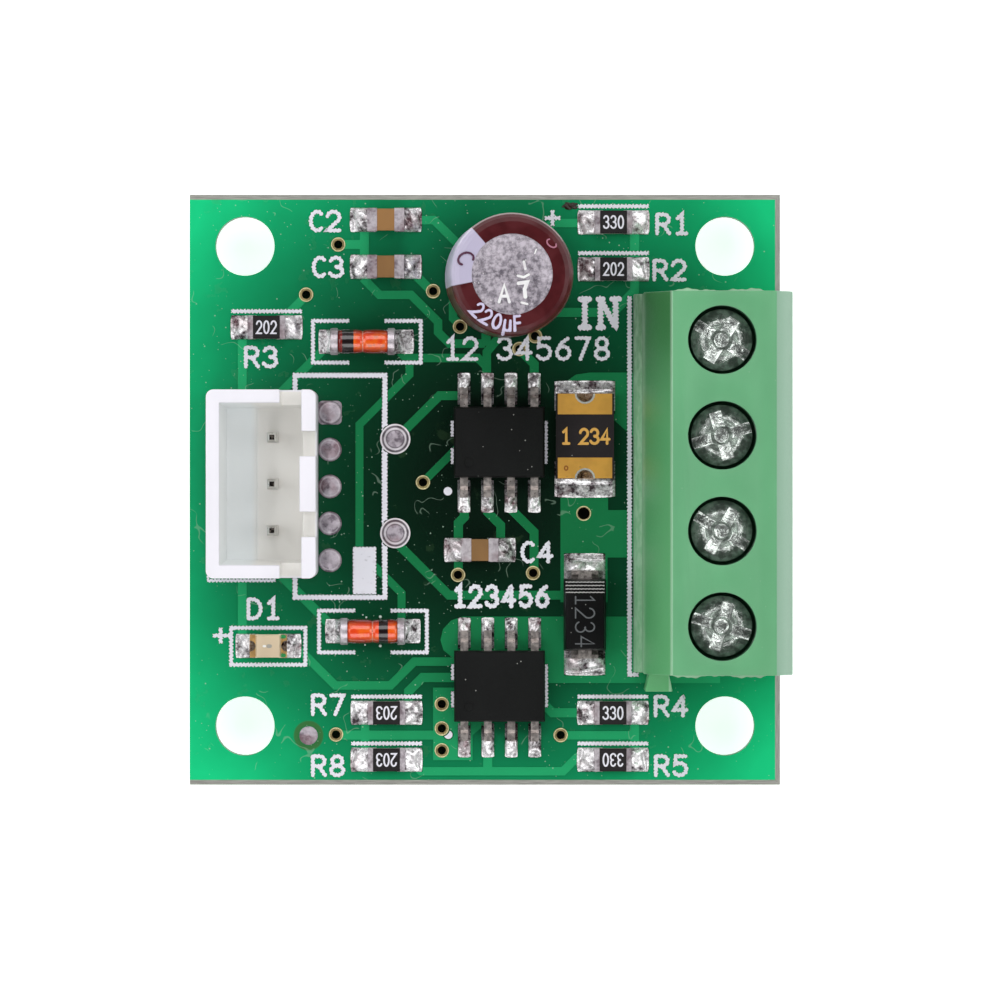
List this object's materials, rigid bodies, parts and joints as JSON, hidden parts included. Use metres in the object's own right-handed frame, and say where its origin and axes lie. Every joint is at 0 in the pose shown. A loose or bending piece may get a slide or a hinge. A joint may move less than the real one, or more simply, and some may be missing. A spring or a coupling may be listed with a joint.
{
  "type": "dc motor driver module",
  "caption": "Small printed board that drives a motor: screw terminal, plug header, upright capacitor, chips, fuse and indicator on the top face.",
  "frame": {"origin": "centre of the four mounting holes, on the board's underside", "axes": "+X towards the screw terminal's wire side, +Y up the board in the picture, +Z out of the component side"},
  "size_m": [0.0324, 0.032, 0.0149],
  "materials": {
    "mask": "gloss",
    "mask_on_copper": "gloss",
    "plating": "satin",
    "ink": "matt",
    "solder": "bright",
    "terminal_plastic": "satin",
    "terminal_steel": "zinc plated",
    "contact_tin": "tin plated",
    "header_plastic": "satin",
    "pin_tin": "tin plated",
    "can_metal": "satin",
    "sleeve": "gloss",
    "seal_rubber": "matt",
    "winding": "matt",
    "chip_black": "matt",
    "lead_tin": "tin plated",
    "fuse_laminate": "matt",
    "fuse_gold": "satin",
    "rectifier_black": "matt",
    "diode_glass": "clear orange",
    "diode_cap": "tin plated",
    "silicon": "polished",
    "led_laminate": "satin",
    "led_gold": "satin",
    "led_resin": "clear resin",
    "resistor_body": "glazed",
    "chip_end": "tin plated",
    "ceramic": "fired"
  },
  "bodies": {
    "module": {"board": "mask", "top_tracks": "mask_on_copper", "via_eyelets": "plating", "legend": "ink", "smd_solder": "solder", "pin_solder": "solder", "filled_holes": "solder", "terminal_housing": "terminal_plastic", "terminal_contacts": "contact_tin", "header_housing": "header_plastic", "header_pins": "pin_tin", "capacitor_can": "can_metal", "capacitor_sleeve": "sleeve", "capacitor_seal": "seal_rubber", "capacitor_winding": "winding", "capacitor_leads": "lead_tin", "chip_1_body": "chip_black", "chip_1_leads": "lead_tin", "chip_2_body": "chip_black", "chip_2_leads": "lead_tin", "fuse_body": "fuse_laminate", "fuse_terminals": "fuse_gold", "rectifier_body": "rectifier_black", "rectifier_leads": "lead_tin", "diode_1_glass": "diode_glass", "diode_1_caps": "diode_cap", "diode_2_glass": "diode_glass", "diode_2_caps": "diode_cap", "diode_dies": "silicon", "led_base": "led_laminate", "led_terminals": "led_gold", "led_lens": "led_resin", "resistor_1_body": "resistor_body", "resistor_1_ends": "chip_end", "resistor_2_body": "resistor_body", "resistor_2_ends": "chip_end", "resistor_3_body": "resistor_body", "resistor_3_ends": "chip_end", "resistor_4_body": "resistor_body", "resistor_4_ends": "chip_end", "resistor_5_body": "resistor_body", "resistor_5_ends": "chip_end", "resistor_6_body": "resistor_body", "resistor_6_ends": "chip_end", "resistor_7_body": "resistor_body", "resistor_7_ends": "chip_end", "ceramic_1_body": "ceramic", "ceramic_1_ends": "chip_end", "ceramic_2_body": "ceramic", "ceramic_2_ends": "chip_end", "ceramic_3_body": "ceramic", "ceramic_3_ends": "chip_end"},
    "clamp_screw_1": {"terminal_screw_1": "terminal_steel"},
    "clamp_cage_1": {"terminal_cage_1": "terminal_steel"},
    "clamp_screw_2": {"terminal_screw_2": "terminal_steel"},
    "clamp_cage_2": {"terminal_cage_2": "terminal_steel"},
    "clamp_screw_3": {"terminal_screw_3": "terminal_steel"},
    "clamp_cage_3": {"terminal_cage_3": "terminal_steel"},
    "clamp_screw_4": {"terminal_screw_4": "terminal_steel"},
    "clamp_cage_4": {"terminal_cage_4": "terminal_steel"}
  },
  "joints": [
    {"name": "screw_turn_1", "type": "hinge", "parent": "module", "child": "clamp_screw_1", "pos_m": [0.01261, 0.00777, 0.0105], "axis": [0, 0, 1], "range_deg": [-1590, 0]},
    {"name": "cage_rise_1", "type": "slide", "parent": "module", "child": "clamp_cage_1", "axis": [0, 0, 1], "range_m": [0, 0.0022]},
    {"name": "screw_turn_2", "type": "hinge", "parent": "module", "child": "clamp_screw_2", "pos_m": [0.01261, 0.00269, 0.0105], "axis": [0, 0, 1], "range_deg": [-1590, 0]},
    {"name": "cage_rise_2", "type": "slide", "parent": "module", "child": "clamp_cage_2", "axis": [0, 0, 1], "range_m": [0, 0.0022]},
    {"name": "screw_turn_3", "type": "hinge", "parent": "module", "child": "clamp_screw_3", "pos_m": [0.01261, -0.00239, 0.0105], "axis": [0, 0, 1], "range_deg": [-1590, 0]},
    {"name": "cage_rise_3", "type": "slide", "parent": "module", "child": "clamp_cage_3", "axis": [0, 0, 1], "range_m": [0, 0.0022]},
    {"name": "screw_turn_4", "type": "hinge", "parent": "module", "child": "clamp_screw_4", "pos_m": [0.01261, -0.00747, 0.0105], "axis": [0, 0, 1], "range_deg": [-1590, 0]},
    {"name": "cage_rise_4", "type": "slide", "parent": "module", "child": "clamp_cage_4", "axis": [0, 0, 1], "range_m": [0, 0.0022]}
  ],
  "couplings": [
    {"joint": "screw_turn_1", "follows": "cage_rise_1", "rad_per_m": -12566},
    {"joint": "screw_turn_2", "follows": "cage_rise_2", "rad_per_m": -12566},
    {"joint": "screw_turn_3", "follows": "cage_rise_3", "rad_per_m": -12566},
    {"joint": "screw_turn_4", "follows": "cage_rise_4", "rad_per_m": -12566}
  ]
}
